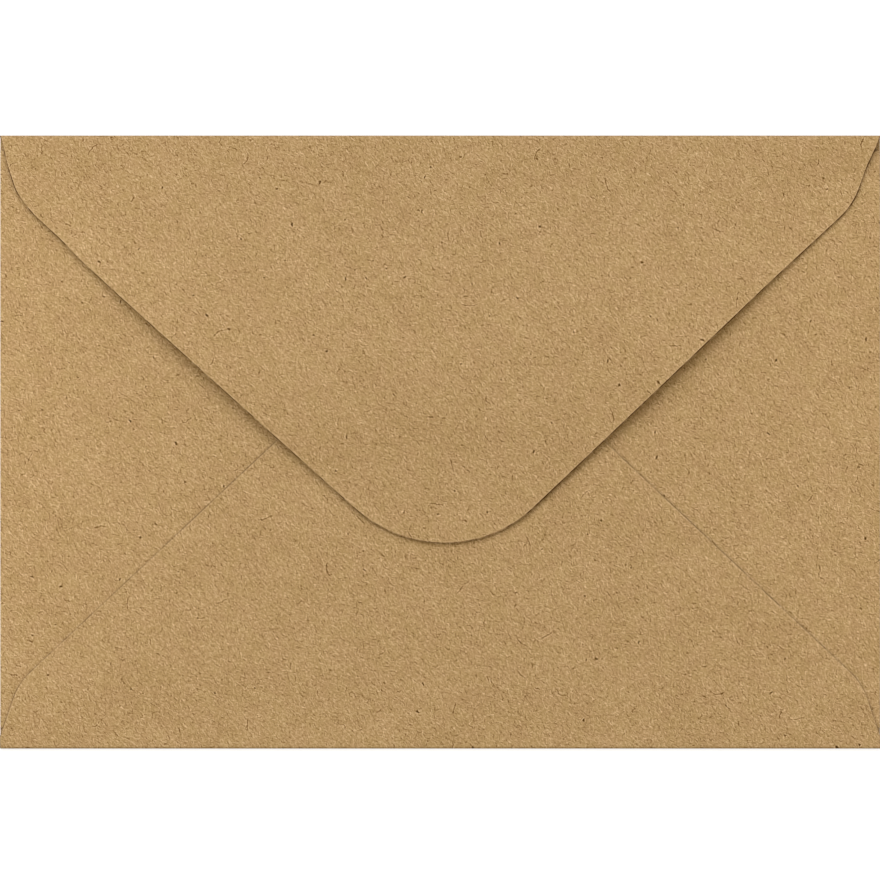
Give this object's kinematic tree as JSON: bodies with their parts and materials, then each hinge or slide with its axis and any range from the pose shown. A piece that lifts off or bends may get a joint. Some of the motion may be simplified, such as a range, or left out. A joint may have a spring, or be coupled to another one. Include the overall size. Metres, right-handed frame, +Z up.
{
  "type": "envelope",
  "caption": "Kraft paper envelope with a deep rounded V flap folded over glued side and bottom flaps; the seal flap opens on its fold.",
  "frame": {"origin": "middle of the closed envelope's footprint, on the surface that it lies on", "axes": "+X along the envelope's width, +Y across its height towards the fold of the seal flap, +Z up out of the back, where the seal flap lies"},
  "size_m": [0.162, 0.1128, 0.0014],
  "materials": {
    "kraft_paper": "matt brown recycled kraft paper with light and dark fibres and a few dark specks",
    "seam_glue": "thin dried film of pale paper glue",
    "flap_gum": "thin dried film of clear gum, slightly glossy over the kraft paper"
  },
  "bodies": {
    "pocket": {"front_panel": "kraft_paper", "left_side_flap": "kraft_paper", "right_side_flap": "kraft_paper", "bottom_flap": "kraft_paper", "left_fold": "kraft_paper", "right_fold": "kraft_paper", "bottom_fold": "kraft_paper", "top_fold": "kraft_paper", "left_seam_glue": "seam_glue", "right_seam_glue": "seam_glue"},
    "flap": {"seal_flap": "kraft_paper", "flap_gum": "flap_gum"}
  },
  "joints": [
    {"name": "seal_flap_fold", "type": "hinge", "parent": "pocket", "child": "flap", "pos_m": [0, 0.05572, 0.00068], "axis": [-1, 0, 0], "range_deg": [0, 180], "deforming": ["top_fold"]}
  ]
}
